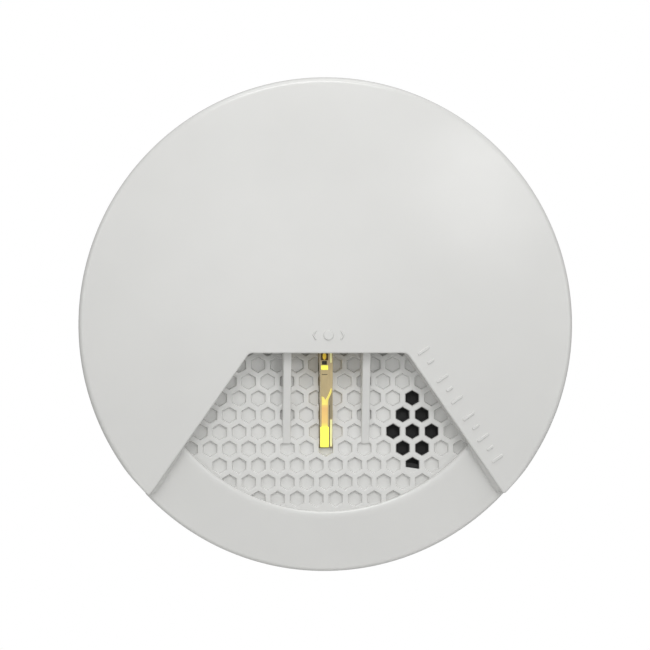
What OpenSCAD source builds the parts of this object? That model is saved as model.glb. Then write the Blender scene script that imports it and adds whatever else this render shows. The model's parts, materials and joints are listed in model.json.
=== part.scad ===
// Wall-mounted wireless smoke detector with a hexagon-lattice sounder window.
// Every piece is drawn lying flat, with z as its distance from the wall, x to the right and y up
// as seen from the room, and upright() then stands it on the wall: the face looks along -Y,
// +Z is up and the origin is the centre of the bracket's back.

/* [Casing] */
// Outer diameter of the front cover
cover_d = 120.7; // [110:0.1:130]
// Height of the dome's top above the wall
depth = 54; // [53.5:0.1:56]
// Radius of the domed face
dome_r = 600; // [400:10:1200]
// Wall thickness of the cover
cover_wall = 2; // [1.6:0.1:2.2]
// Rounding of the cover's front edge
edge_r = 1.4; // [0.8:0.1:1.6]
// Underside of the cover's skirt
skirt_z = 43.5; // [43.4:0.1:43.8]
// Top of the rear housing's wall
housing_top_z = 31; // [30.5:0.1:31]
// Rear housing's outer radius at its top
housing_r = 56.4; // [56:0.1:57]

/* [Window] */
// Distance of the window's straight top edge below the centre
window_top = 6.9; // [6.7:0.1:7.4]
// Half the length of the window's top edge
window_half = 19.2; // [19:0.1:20]
// Sideways run of the slanted edges for each millimetre down
window_slant = 0.698; // [0.66:0.01:0.72]
// Radius of the arc that closes the window at the bottom
lip_r = 45.6; // [45.2:0.1:46]
// Step down from the face to the chin below the window
chin_drop = 3.6; // [3.4:0.1:3.8]

/* [Lattice] */
// Distance between hexagon centres in a row
hex_pitch = 4.74; // [4.6:0.02:4.9]
// Width of a bar between two hexagons
hex_bar = 1.26; // [1.1:0.02:1.36]
// Depth of the blind hexagons
hex_depth = 0.85; // [0.5:0.05:1.1]
// Height of the lattice at the lip
dish_rim_z = 46.3; // [46.1:0.1:46.3]
// How quickly the dish deepens towards its top edge
dish_curve = 0.0024; // [0.002:0.0002:0.005]
// Thickness of the dish
dish_t = 2.5; // [2.4:0.1:2.6]
// Distance of each rib from the middle
rib_x = 9.67; // [9:0.01:10]
// Thickness of a rib
rib_w = 2; // [1.6:0.1:2.4]

/* [Test button] */
// Width of the clear light guide
guide_w = 3.1; // [3:0.05:3.4]
// Distance of the light guide's tip below the centre
guide_tip = 30.1; // [29.8:0.1:30.4]
// Radius of the pin that the light guide turns on
guide_pin_r = 1; // [0.8:0.05:1.2]
// Radial clearance of a running fit
running_gap = 0.05; // [0.02:0.01:0.1]

/* [Sounder] */
// Sideways place of the sounder
sounder_x = 21.3; // [21:0.1:21.6]
// Distance of the sounder below the centre
sounder_down = 26.3; // [26:0.1:26.6]
// Outer radius of the sounder's shell
sounder_r = 12.5; // [12.2:0.1:12.8]

/* [Smoke chamber] */
// Distance of the chamber's centre above the middle
chamber_up = 18; // [17.5:0.5:19]
// Outer radius of the chamber
chamber_r = 20.5; // [19:0.5:20.5]
// Top of the chamber's cap
chamber_top = 41.6; // [40:0.1:42]

/* [Battery] */
// Diameter of the lithium cell
cell_d = 16.8; // [16.5:0.1:17]
// Length of the cell's can
cell_l = 33.4; // [33:0.1:33.5]
// Distance of the cell's axis from the wall
cell_z = 14.2; // [14:0.1:14.4]

/* [Bracket] */
// Outer radius of the bracket's rim
bracket_r = 49; // [48.5:0.1:49]
// Radius of the bracket's open centre
bracket_hole_r = 30; // [28:0.5:31]
// Thickness of the bracket's plate
bracket_t = 2; // [1.8:0.1:2.2]
// Distance between the two screw slots
slot_spacing = 83.3; // [82:0.1:84]
// Distance between the two round screw holes
hole_spacing = 71; // [70:0.5:72]
// Radius of the round screw holes, and half the slots' width
screw_hole_r = 2.2; // [2:0.1:2.3]
// Length of a screw slot, end to end
slot_l = 8; // [7:0.5:8]

/* [Hidden] */
$fn = 96;

eps = 0.01;
big = 80;
past = 1;
round_fn = 48;
cover_r = cover_d / 2;
hex_flat = hex_pitch - hex_bar;
hex_row = hex_pitch * sqrt(3) / 2;
hex_first_row = 9.8;
hex_rows = 9;
hex_reach = 10;
open_rows = 2;
hex_keep = 1.2;
open_hex_l = 5;
above_dish = 20;
dish_run = 1.6;
dish_steps = 10;
face_steps = 12;
edge_steps = 6;
rib_gap = 1.5;
rib_root = 1;

// Heights of the inner parts above the wall
back_z = 7.6;
back_t = 2;
board_z = 25.5;
board_t = 1.6;
board_top = board_z + board_t;
board_r = 47;
seat_z = 46.35;
fin_top_z = skirt_z - 0.1;
screen_r = 50.2;
ring_t = 1.5;

// Fastener places, as [angle, radius]
cover_posts = [[15, 45.8], [90, 45.8], [165, 45.8]];
board_posts = [[55, 43], [180, 42.5], [282, 43]];
post_r = 3.2;
boss_r = 4.6;
screw_r = 1.5;
board_screw_r = 1.25;
screw_clearance = 0.2;

// Battery bay
bay_x = 37;
bay_y = 18.4;
bay_wall = 1.6;
bay_low_z = 4.4;
bay_top_z = 23.2;
door_z = 2.4;
door_t = 1.6;
door_axis_y = 12.9;
door_axis_z = 4;
door_barrel_r = 1.5;
door_barrel_half = 8;
door_pin_r = 0.8;

// Test lever and its switch
guide_axis_y = 2;
guide_axis_z = 46.5;
guide_hub_r = 2.3;
switch_y = -8;
press_z = 33.2;
plunger_r = 1.75;
led_y = -27.6;
ear_gap = 0.2;
ear_t = 2;

// Tamper plunger
tamper_angle = 205;
tamper_ring_r = 37;
tamper_r = 1.5;
tamper_tip_z = 0.3;
twist_deg = 15;

function dome_z(r, drop) = depth - drop - r * r / (2 * dome_r);
function dish_z(r) = dish_rim_z - dish_curve * pow(lip_r - r, 2);
function window_x(y) = window_half + window_slant * (-window_top - y);
function polar(r, a) = [r * cos(a), r * sin(a)];

module upright() {
    rotate([90, 0, 0])
        children();
}

// A run of a rounded edge from the face down to the skirt, as profile points
function edge_arc(top_z, steps) = [
    for (i = [0 : steps])
        [cover_r - edge_r + edge_r * sin(90 * i / steps), top_z - edge_r + edge_r * cos(90 * i / steps)]
];

// Section of the domed face and its rounded rim, from the middle outwards
function face_profile(drop) = let(
    face_end = cover_r - edge_r,
    face = [for (i = [0 : face_steps]) let(r = face_end * i / face_steps) [r, dome_z(r, drop)]],
    rim = edge_arc(dome_z(face_end, drop), edge_steps)
) concat(face, [for (i = [1 : edge_steps]) rim[i]]);

// Section of the whole domed shell, with its skirt and its underside
function shell_profile(drop) = let(
    under_end = cover_r - cover_wall,
    skirt = [[cover_r, skirt_z], [under_end, skirt_z]],
    under = [for (i = [face_steps : -1 : 0]) let(r = under_end * i / face_steps)
        [r, dome_z(r, drop) - cover_wall]]
) concat(face_profile(drop), skirt, under);

module revolve(points) {
    rotate_extrude()
        polygon(points);
}

// The window's outline, grown outwards by g and running out past the rim
module wedge(g) {
    far = -cover_r - above_dish;
    side = g * sqrt(1 + window_slant * window_slant);
    polygon([
        [-window_half - side + g * window_slant, -window_top + g],
        [window_half + side - g * window_slant, -window_top + g],
        [window_x(far) + side, far],
        [-window_x(far) - side, far]
    ]);
}

module wedge_block(g, z0, z1) {
    translate([0, 0, z0])
        linear_extrude(z1 - z0)
            wedge(g);
}

module disc(r, z0, z1) {
    translate([0, 0, z0])
        cylinder(r = r, h = z1 - z0);
}

module post(place, r, z0, z1) {
    translate([place.x, place.y, z0])
        cylinder(r = r, h = z1 - z0, $fn = round_fn);
}

module tube(r_out, r_in, z0, z1) {
    difference() {
        disc(r_out, z0, z1);
        disc(r_in, z0 - past, z1 + past);
    }
}

module at_posts(list) {
    for (p = list)
        translate([p[1] * cos(p[0]), p[1] * sin(p[0]), 0])
            children();
}

// A sector from angle a0 to a1, as a plan outline
module sector(a0, a1) {
    steps = 6;
    polygon(concat([[0, 0]], [for (i = [0 : steps]) polar(big, a0 + (a1 - a0) * i / steps)]));
}

// ---- Bracket ----

tab_angles = [20, 140, 260];
tab_half = 7;
tab_low_z = 3;
tab_top_z = 5;
tab_r = 51.1;
lug_r = 49.4;
lug_top_z = 2.6;

module bayonet_tabs(r_in, r_out, z0, z1) {
    for (a = tab_angles)
        intersection() {
            tube(r_out, r_in, z0, z1);
            translate([0, 0, z0])
                linear_extrude(z1 - z0)
                    sector(a - tab_half, a + tab_half);
        }
}

module screw_slot(x) {
    straight = slot_l - 2 * screw_hole_r;
    through = bracket_t + 2 * past;
    translate([x, 0, -past]) {
        translate([-straight / 2, -screw_hole_r, 0])
            cube([straight, 2 * screw_hole_r, through]);
        for (s = [-1, 1])
            translate([s * straight / 2, 0, 0])
                cylinder(r = screw_hole_r, h = through, $fn = round_fn);
    }
}

module mounting_bracket() {
    tamper_slot_half = 2.4;
    slot_margin = 4.5;
    slot_start = tamper_angle - slot_margin;
    slot_end = tamper_angle + twist_deg + slot_margin;
    rim_t = 1.6;
    inner_rim_z = 4;
    through_z = 8;
    tab_root = 0.8;
    color("whitesmoke")
        upright()
            difference() {
                union() {
                    disc(bracket_r, 0, bracket_t);
                    tube(bracket_r, bracket_r - rim_t, 0, tab_top_z);
                    tube(bracket_hole_r + rim_t, bracket_hole_r, 0, inner_rim_z);
                    bayonet_tabs(bracket_r - tab_root, tab_r, tab_low_z, tab_top_z);
                }
                disc(bracket_hole_r, -past, through_z);
                for (s = [-1, 1]) {
                    screw_slot(s * slot_spacing / 2);
                    post([0, s * hole_spacing / 2], screw_hole_r, -past, through_z);
                }
                intersection() {
                    tube(
                        tamper_ring_r + tamper_slot_half,
                        tamper_ring_r - tamper_slot_half,
                        -past,
                        through_z
                    );
                    translate([0, 0, -past])
                        linear_extrude(through_z + past)
                            sector(slot_start, slot_end);
                }
            }
}

// ---- Rear housing ----

module bay_box(grow, z0, z1) {
    translate([-bay_x / 2 - grow, -bay_y / 2 - grow, z0])
        cube([bay_x + 2 * grow, bay_y + 2 * grow, z1 - z0]);
}

module door_ears() {
    ear_r = 1.8;
    ear_w = 2.5;
    ear_side_gap = 0.3;
    web_l = 3.2;
    web_z = bay_low_z + 0.4;
    ear_top = back_z + back_t / 2;
    for (s = [-1, 1])
        translate([s * (door_barrel_half + ear_side_gap + ear_w / 2) - ear_w / 2, 0, 0]) {
            translate([0, door_axis_y, door_axis_z])
                rotate([0, 90, 0])
                    cylinder(r = ear_r, h = ear_w, $fn = round_fn);
            translate([0, door_axis_y - ear_r, door_axis_z])
                cube([ear_w, 2 * ear_r, ear_top - door_axis_z]);
            translate([0, bay_y / 2 + bay_wall - 0.6, web_z])
                cube([ear_w, web_l, ear_top - web_z]);
        }
}

module rear_housing() {
    wall_foot_r = 53.6;
    skirt_in_r = 51.5;
    low_z = 0.8;
    shelf_in_r = 49.3;
    shelf_t = 1.6;
    foot_edge = 0.6;
    top_edge = 0.8;
    wall_t = 2.6;
    foot_wall_t = 1.5;
    inside_z = back_z + back_t / 2;
    tamper_place = polar(tamper_ring_r, tamper_angle);
    tamper_boss_r = 3.4;
    tamper_boss_top = 16;
    tamper_bore_r = 2.6;
    tamper_bore_z = 10.6;
    screw_seat_z = 14;
    screw_seat_r = 3.2;
    color("white")
        upright()
            difference() {
                union() {
                    revolve([
                        [0, back_z],
                        [skirt_in_r, back_z],
                        [skirt_in_r, low_z],
                        [wall_foot_r - foot_edge, low_z],
                        [wall_foot_r, low_z + foot_edge],
                        [housing_r, housing_top_z - top_edge],
                        [housing_r - top_edge, housing_top_z],
                        [shelf_in_r, housing_top_z],
                        [shelf_in_r, housing_top_z - shelf_t],
                        [housing_r - wall_t, housing_top_z - shelf_t],
                        [wall_foot_r - foot_wall_t, back_z + back_t],
                        [0, back_z + back_t]
                    ]);
                    bay_box(bay_wall, bay_low_z, bay_top_z + bay_wall);
                    bayonet_tabs(lug_r, skirt_in_r + 0.5, low_z, lug_top_z);
                    door_ears();
                    at_posts(cover_posts)
                        disc(boss_r, inside_z, board_top + 0.1);
                    at_posts(board_posts)
                        disc(post_r, inside_z, board_z);
                    post(tamper_place, tamper_boss_r, inside_z, tamper_boss_top);
                }
                bay_box(0, 0, bay_top_z);
                at_posts(cover_posts) {
                    disc(screw_seat_r, back_z - past, screw_seat_z);
                    disc(screw_r + screw_clearance, back_z, big);
                }
                at_posts(board_posts)
                    disc(board_screw_r, screw_seat_z, big);
                post(tamper_place, tamper_r + running_gap, 0, big);
                post(tamper_place, tamper_bore_r, tamper_bore_z, big);
                translate([-big / 2, door_axis_y, door_axis_z])
                    rotate([0, 90, 0])
                        cylinder(r = door_pin_r, h = big, $fn = round_fn);
            }
}

module pan_screw(shank_r, head_r, head_t, length) {
    head_edge = 0.5;
    cross_w = 0.6;
    cross_l = head_r * 1.2;
    cross_depth = 1;
    difference() {
        union() {
            cylinder(r = head_r, h = head_t - head_edge, $fn = round_fn);
            translate([0, 0, head_t - head_edge])
                cylinder(r1 = head_r, r2 = head_r - head_edge, h = head_edge, $fn = round_fn);
            translate([0, 0, -length])
                cylinder(r = shank_r, h = length + eps, $fn = round_fn);
        }
        for (a = [0, 90])
            rotate([0, 0, a])
                translate([-cross_l / 2, -cross_w / 2, head_t - cross_depth])
                    cube([cross_l, cross_w, cross_depth + past]);
    }
}

module housing_screws() {
    seat = 14;
    head_r = 2.9;
    head_t = 2.2;
    length = 24;
    color("silver")
        upright()
            at_posts(cover_posts)
                translate([0, 0, seat])
                    mirror([0, 0, 1])
                        pan_screw(screw_r, head_r, head_t, length);
}

// ---- Vents ----

fin_count = 24;

module vent_fins() {
    fin_in = 51;
    fin_out = 56.6;
    fin_t = 1.6;
    color("white")
        upright()
            for (i = [0 : fin_count - 1])
                rotate([0, 0, (i + 0.5) * 360 / fin_count])
                    translate([0, fin_t / 2, 0])
                        rotate([90, 0, 0])
                            linear_extrude(fin_t)
                                polygon([
                                    [fin_in, housing_top_z],
                                    [housing_r - 1, housing_top_z],
                                    [fin_out, fin_top_z],
                                    [fin_in, fin_top_z]
                                ]);
}

module vent_screen() {
    slots = 60;
    slot_w = 2 * screen_r * sin(1.8);
    edge = 1;
    wire_t = 0.6;
    color("gray")
        upright()
            difference() {
                tube(screen_r, screen_r - wire_t, housing_top_z, fin_top_z);
                for (i = [0 : slots - 1])
                    rotate([0, 0, i * 360 / slots])
                        translate([screen_r - 2 * wire_t, -slot_w / 2, housing_top_z + edge])
                            cube([4 * wire_t, slot_w, fin_top_z - housing_top_z - 2 * edge]);
            }
}

module vent_ring() {
    cover_gap = 0.2;
    lap = 0.9;
    color("white")
        upright()
            tube(cover_r - cover_wall - cover_gap, screen_r - lap, skirt_z, skirt_z + ring_t);
}

// ---- Front cover ----

module cover_outer(drop) {
    revolve(shell_profile(drop));
}

module cover_mass(low_z) {
    revolve(concat(face_profile(0), [[cover_r, low_z], [0, low_z]]));
}

module front_cover() {
    wall = 1.5;
    chin_tuck = 0.6;
    wall_gap = 0.3;
    post_gap = 0.4;
    post_sink = 0.8;
    screw_depth = 44;
    color("white")
        upright()
            difference() {
                union() {
                    difference() {
                        cover_outer(0);
                        wedge_block(0, 0, big);
                    }
                    intersection() {
                        difference() {
                            cover_outer(chin_drop);
                            disc(lip_r, 0, big);
                        }
                        wedge_block(chin_tuck, 0, big);
                    }
                    intersection() {
                        cover_mass(seat_z + wall_gap);
                        difference() {
                            wedge_block(wall, 0, big);
                            wedge_block(0, -past, big + past);
                            translate([-big, -window_top, 0])
                                cube([2 * big, big, big]);
                        }
                    }
                    at_posts(cover_posts)
                        disc(post_r, board_top + post_gap, depth - cover_wall - post_sink);
                }
                at_posts(cover_posts)
                    disc(screw_r, 0, screw_depth);
            }
}

// ---- Lattice dish ----

// Plan of the lattice inside the window's outline, less a margin
module window_plan(grow) {
    intersection() {
        wedge(grow);
        circle(r = lip_r + grow);
    }
}

// Every hexagon of the lattice: called with its place and whether it is open to the sounder
module at_hexes(open) {
    for (row = [0 : hex_rows - 1])
        let(y = -hex_first_row - row * hex_row, shift = (row % 2 == 0) ? 0.5 : 0)
            for (col = [-hex_reach : hex_reach])
                let(
                    x = (col + shift) * hex_pitch,
                    steps = abs(round((y + sounder_down) / hex_row)),
                    is_open = steps <= open_rows
                        && abs(x - sounder_x) < (3 - steps) * hex_pitch / 2
                )
                    if (open == is_open && keeps_hex(x, y))
                        translate([x, y, dish_z(norm([x, y]))])
                            children();
}

// A hexagon is kept when enough of it lies inside the window
function keeps_hex(x, y) = abs(x) < window_x(y) + hex_keep
    && norm([x, y]) < lip_r + hex_keep
    && !(abs(x) < guide_w / 2 + hex_keep && y > -guide_tip - hex_keep);

module dish_band(over, under) {
    steps = dish_steps;
    end = lip_r + dish_run;
    top = [for (i = [0 : steps]) let(r = end * i / steps) [r, dish_z(r) + over]];
    low = [for (i = [steps : -1 : 0]) let(r = end * i / steps) [r, dish_z(r) - under]];
    revolve(concat(top, low));
}

module hex_prism(z0, z1) {
    translate([0, 0, z0])
        rotate([0, 0, 30])
            cylinder(r = hex_flat / sqrt(3), h = z1 - z0, $fn = 6);
}

// One rib in side view, running from under the cover down to the lattice
module rib(x) {
    rib_head = -5.5;
    rib_foot = -guide_tip;
    rib_low_z = dish_z(-rib_head) - 2 * rib_root;
    translate([x - rib_w / 2, 0, 0])
        rotate([90, 0, 90])
            linear_extrude(rib_w)
                polygon([
                    [rib_head, rib_low_z],
                    [rib_head, depth - cover_wall - rib_gap],
                    [rib_foot, dish_z(guide_tip) - 0.1],
                    [rib_foot, dish_z(guide_tip) - rib_root],
                    [-20, dish_z(20) - rib_root],
                    [-10, dish_z(10) - rib_root]
                ]);
}

module pivot_ears() {
    ear_r = 2.4;
    root_y = -6;
    for (s = [-1, 1])
        translate([s * (guide_w / 2 + ear_gap + ear_t / 2) - ear_t / 2, 0, 0]) {
            translate([0, guide_axis_y, guide_axis_z])
                rotate([0, 90, 0])
                    cylinder(r = ear_r, h = ear_t, $fn = round_fn);
            translate([0, root_y, guide_axis_z - ear_r])
                cube([ear_t, guide_axis_y - root_y, 2 * ear_r]);
        }
}

module hex_grille() {
    rim_wall = 1.4;
    top_wall_t = 1.2;
    top_wall_gap = 0.4;
    low_z = 30;
    top_wall_z = 39;
    slot_half = guide_w / 2 + ear_gap;
    slot_end = guide_tip + 0.4;
    color("white")
        upright()
            difference() {
                union() {
                    difference() {
                        intersection() {
                            translate([0, 0, low_z])
                                linear_extrude(seat_z - low_z)
                                    window_plan(rim_wall);
                            dish_band(above_dish, dish_t);
                        }
                        intersection() {
                            translate([0, 0, low_z])
                                linear_extrude(big)
                                    window_plan(0);
                            dish_band(above_dish, 0);
                        }
                        intersection() {
                            translate([0, 0, low_z])
                                linear_extrude(big)
                                    window_plan(0);
                            at_hexes(false)
                                hex_prism(-hex_depth, above_dish);
                        }
                        at_hexes(true)
                            hex_prism(-open_hex_l, above_dish);
                    }
                    translate([-window_half, -window_top + rim_wall - top_wall_t, top_wall_z])
                        cube([2 * window_half, top_wall_t, depth - cover_wall - top_wall_gap - top_wall_z]);
                    rib(-rib_x);
                    rib(rib_x);
                    pivot_ears();
                }
                translate([-slot_half, -slot_end, above_dish])
                    cube([2 * slot_half, slot_end + 10, big]);
                translate([-above_dish / 2, guide_axis_y, guide_axis_z])
                    rotate([0, 90, 0])
                        cylinder(r = guide_pin_r, h = above_dish, $fn = round_fn);
            }
}

// ---- Test button and indicator ----

module test_button() {
    front_top = guide_axis_z + guide_hub_r;
    front_low = dish_z(guide_tip) + 0.9;
    under_low = front_low - 4;
    tip_edge = 0.5;
    light_end = -guide_tip + 5;
    light_z = 31.6;
    switch_half = 1.5;
    root_z = 43.6;
    color("gold", 0.6)
        upright()
            difference() {
                union() {
                    translate([-guide_w / 2, 0, 0])
                        rotate([90, 0, 90])
                            linear_extrude(guide_w)
                                polygon([
                                    [guide_axis_y, front_top],
                                    [-guide_tip + tip_edge, front_low],
                                    [-guide_tip, front_low - tip_edge],
                                    [-guide_tip, light_z],
                                    [light_end, light_z],
                                    [light_end, under_low],
                                    [switch_y - switch_half, under_low],
                                    [switch_y - switch_half, press_z],
                                    [switch_y + switch_half, press_z],
                                    [switch_y + switch_half, root_z],
                                    [guide_axis_y, guide_axis_z - guide_hub_r]
                                ]);
                    translate([-guide_w / 2, guide_axis_y, guide_axis_z])
                        rotate([0, 90, 0])
                            cylinder(r = guide_hub_r, h = guide_w, $fn = round_fn);
                }
                translate([-guide_w, guide_axis_y, guide_axis_z])
                    rotate([0, 90, 0])
                        cylinder(r = guide_pin_r + running_gap, h = 2 * guide_w, $fn = round_fn);
            }
}

module test_pivot_pin() {
    pin_half = guide_w / 2 + ear_gap + ear_t;
    color("silver")
        upright()
            translate([-pin_half, guide_axis_y, guide_axis_z])
                rotate([0, 90, 0])
                    cylinder(r = guide_pin_r, h = 2 * pin_half, $fn = round_fn);
}

module test_switch_body() {
    side = 6;
    height = 3.5;
    floor_t = 1;
    color("dimgray")
        upright()
            difference() {
                translate([-side / 2, switch_y - side / 2, board_top])
                    cube([side, side, height]);
                post([0, switch_y], plunger_r + running_gap, board_top + floor_t, big);
            }
}

module switch_plunger() {
    head_z = 32.6;
    color("black")
        upright()
            union() {
                post([0, switch_y], plunger_r, board_top + 1.8, head_z);
                post([0, switch_y], 1.4, head_z - past / 10, press_z - 0.1);
            }
}

module status_led() {
    size = [3.2, 3.5, 1.4];
    lens_r = 1.25;
    lens_top = 29.6;
    color("yellow")
        upright()
            union() {
                translate([-size.x / 2, led_y - size.y / 2, board_top])
                    cube(size);
                post([0, led_y], lens_r, board_top + size.z / 2, lens_top);
            }
}

// ---- Circuit board ----

module main_board() {
    boss_gap = 0.5;
    color("darkgreen")
        upright()
            difference() {
                disc(board_r, board_z, board_top);
                at_posts(cover_posts)
                    disc(boss_r + boss_gap, 0, big);
                at_posts(board_posts)
                    disc(board_screw_r + screw_clearance, 0, big);
            }
}

module board_screws() {
    head_r = 2.5;
    head_t = 1.8;
    length = 10;
    color("silver")
        upright()
            at_posts(board_posts)
                translate([0, 0, board_top])
                    pan_screw(board_screw_r, head_r, head_t, length);
}

module radio_module() {
    corner = [-38, -24];
    size = [20, 14, 3];
    vent_r = 0.6;
    vent_step = 4;
    color("silver")
        upright()
            difference() {
                translate([corner.x, corner.y, board_top])
                    cube(size);
                for (i = [1 : 4])
                    post(
                        [corner.x + i * vent_step, corner.y + size.y / 2],
                        vent_r,
                        board_top + size.z - 1,
                        big
                    );
            }
}

module microcontroller() {
    place = [-14, -32];
    body = [7, 7, 1.2];
    body_lift = 0.2;
    lead = [1.2, 0.4, 0.5];
    lead_pitch = 1;
    lead_x = 4;
    color("black")
        upright()
            translate([place.x, place.y, board_top]) {
                translate([-body.x / 2, -body.y / 2, body_lift])
                    cube(body);
                for (i = [-3 : 3], s = [-1, 1])
                    translate([s * lead_x - lead.x / 2, i * lead_pitch - lead.y / 2, 0])
                        cube(lead);
            }
}

module capacitors() {
    places = [[-25, -32], [30, 22], [-33, 14]];
    foot = [6.6, 6.6, 0.8];
    can_r = 3.1;
    can_h = 6;
    color("slategray")
        upright()
            for (p = places)
                translate([p.x, p.y, board_top]) {
                    translate([-foot.x / 2, -foot.y / 2, 0])
                        cube(foot);
                    translate([0, 0, foot.z - 0.1])
                        cylinder(r = can_r, h = can_h, $fn = round_fn);
                }
}

module driver_coil() {
    place = [35, -5];
    flange_r = 4.4;
    core_r = 3.2;
    flange_t = 1;
    height = 7;
    color("saddlebrown")
        upright()
            translate([place.x, place.y, board_top])
                rotate_extrude($fn = round_fn)
                    polygon([
                        [0, 0],
                        [flange_r, 0],
                        [flange_r, flange_t],
                        [core_r, flange_t],
                        [core_r, height - flange_t],
                        [flange_r, height - flange_t],
                        [flange_r, height],
                        [0, height]
                    ]);
}

module antenna_strip() {
    start = 105;
    sweep = 48;
    inner_r = 45;
    strip = [0.5, 9];
    color("goldenrod")
        upright()
            rotate([0, 0, start])
                rotate_extrude(angle = sweep)
                    translate([inner_r, board_top])
                        square(strip);
}

// ---- Smoke chamber ----

module chamber() {
    upright()
        translate([0, chamber_up, 0])
            children();
}

cap_t = 1.8;
chamber_floor = board_top + 2.2;
chamber_roof = chamber_top - cap_t;
vane_count = 24;
emitter_angle = 215;
receiver_angle = 335;

module chamber_base() {
    trap_r = 2.5;
    color("black")
        chamber()
            difference() {
                disc(chamber_r, board_top, chamber_floor);
                disc(trap_r, board_top + 1, big);
            }
}

module chamber_labyrinth() {
    vane_inset = 5;
    optic_deg = 18;
    color("black")
        chamber()
            for (i = [0 : vane_count - 1])
                let(
                    a = i * 360 / vane_count,
                    blocks_optics = abs(a - emitter_angle) < optic_deg
                        || abs(a - receiver_angle) < optic_deg
                )
                    if (!blocks_optics)
                        rotate([0, 0, a])
                            translate([chamber_r - vane_inset, 0, chamber_floor])
                                linear_extrude(chamber_roof - chamber_floor)
                                    polygon([
                                        [0, 0],
                                        [3.4, 1.6],
                                        [3.8, -0.6],
                                        [4.6, -0.4],
                                        [4.1, 2.6],
                                        [-0.3, 0.7]
                                    ]);
}

module chamber_mesh() {
    slots = 40;
    slot_w = 2.2;
    edge = 0.8;
    color("gray")
        chamber()
            difference() {
                tube(chamber_r - 0.05, chamber_r - 0.35, chamber_floor, chamber_roof);
                for (i = [0 : slots - 1])
                    rotate([0, 0, i * 360 / slots])
                        translate([chamber_r - slot_w, -slot_w / 2, chamber_floor + edge])
                            cube([2 * slot_w, slot_w, chamber_roof - chamber_floor - 2 * edge]);
            }
}

module chamber_cap() {
    edge = 0.8;
    color("black")
        chamber()
            translate([0, 0, chamber_roof])
                rotate_extrude()
                    polygon([
                        [0, 0],
                        [chamber_r, 0],
                        [chamber_r, cap_t - edge],
                        [chamber_r - edge, cap_t],
                        [0, cap_t]
                    ]);
}

optic_r = 2.5;
optic_lift = 3.2;

module optic_place(a) {
    rotate([0, 0, a])
        translate([0, 0, chamber_floor + optic_lift])
            rotate([0, 90, 0])
                children();
}

module optics_holder() {
    block = [8, 6.8, 6.6];
    block_in = 8;
    color("black")
        chamber()
            difference() {
                for (a = [emitter_angle, receiver_angle])
                    rotate([0, 0, a])
                        translate([block_in, -block.y / 2, chamber_floor])
                            cube(block);
                for (a = [emitter_angle, receiver_angle])
                    optic_place(a)
                        cylinder(r = optic_r, h = big, $fn = round_fn);
            }
}

module optic(a, tint) {
    can_in = 9.5;
    can_l = 6;
    lens_in = 8;
    lens_r = 1.6;
    lens_l = 2;
    color(tint)
        chamber()
            optic_place(a) {
                translate([0, 0, can_in])
                    cylinder(r = optic_r, h = can_l, $fn = round_fn);
                translate([0, 0, lens_in])
                    cylinder(r = lens_r, h = lens_l, $fn = round_fn);
            }
}

module infrared_led() {
    optic(emitter_angle, "lightblue");
}

module photodiode() {
    optic(receiver_angle, "black");
}

// ---- Sounder ----

module sounder() {
    upright()
        translate([sounder_x, -sounder_down, 0])
            children();
}

sounder_top = 39.8;
disc_z = board_top + 7.4;

module sounder_shell() {
    wall = 1.4;
    seat_wall = 2.2;
    floor_t = 1;
    color("black")
        sounder()
            difference() {
                disc(sounder_r, board_top, sounder_top);
                disc(sounder_r - wall, disc_z, big);
                disc(sounder_r - seat_wall, board_top + floor_t, big);
            }
}

module piezo_disc() {
    plate_t = 0.3;
    ceramic_t = 0.25;
    color("goldenrod")
        sounder()
            union() {
                disc(sounder_r - 1.5, disc_z, disc_z + plate_t);
                disc(sounder_r - 4.5, disc_z + plate_t - 0.1, disc_z + plate_t + ceramic_t);
            }
}

module sounder_gasket() {
    foam_t = 0.6;
    color("black")
        sounder()
            tube(sounder_r - 0.1, sounder_r - 2, sounder_top, sounder_top + foam_t);
}

module sounder_contacts() {
    apart = 10;
    wire_r = 0.5;
    color("gold")
        sounder()
            for (s = [-1, 1])
                translate([s * apart / 2, 0, board_top + 1])
                    cylinder(r = wire_r, h = disc_z - board_top - 1, $fn = round_fn);
}

// ---- Battery ----

wrap_t = 0.15;
cell_shift = 0.4;

module along_cell(x) {
    upright()
        translate([x, 0, cell_z])
            rotate([0, 90, 0])
                children();
}

module battery_cell() {
    button_r = 3.2;
    button_l = 1.1;
    color("silver")
        along_cell(-cell_l / 2 - cell_shift) {
            cylinder(r = cell_d / 2 - wrap_t, h = cell_l);
            cylinder(r = button_r, h = cell_l + button_l, $fn = round_fn);
        }
}

module battery_wrap() {
    bare_ends = 0.8;
    color("black")
        along_cell(-cell_l / 2)
            difference() {
                cylinder(r = cell_d / 2, h = cell_l - bare_ends);
                translate([0, 0, -past])
                    cylinder(r = cell_d / 2 - wrap_t, h = cell_l + 2 * past);
            }
}

module battery_spring_contact() {
    leaf_t = 0.35;
    wall_x = -bay_x / 2;
    leaf_w = 6;
    cell_x = -cell_l / 2 - cell_shift;
    color("silver")
        upright()
            translate([0, leaf_w / 2, cell_z])
                rotate([90, 0, 0])
                    linear_extrude(leaf_w)
                        polygon([
                            [wall_x, -6],
                            [wall_x, 7],
                            [wall_x + leaf_t, 7],
                            [wall_x + leaf_t, -4],
                            [cell_x - leaf_t - 0.2, 0.5],
                            [wall_x + leaf_t + 0.1, 4],
                            [wall_x + leaf_t + 0.3, 4.4],
                            [cell_x, 0.5],
                            [wall_x + leaf_t, -6]
                        ]);
}

module battery_plate_contact() {
    plate = [0.4, 10, 12];
    color("silver")
        upright()
            translate([bay_x / 2 - plate.x, -plate.y / 2, cell_z - plate.z / 2])
                cube(plate);
}

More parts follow.
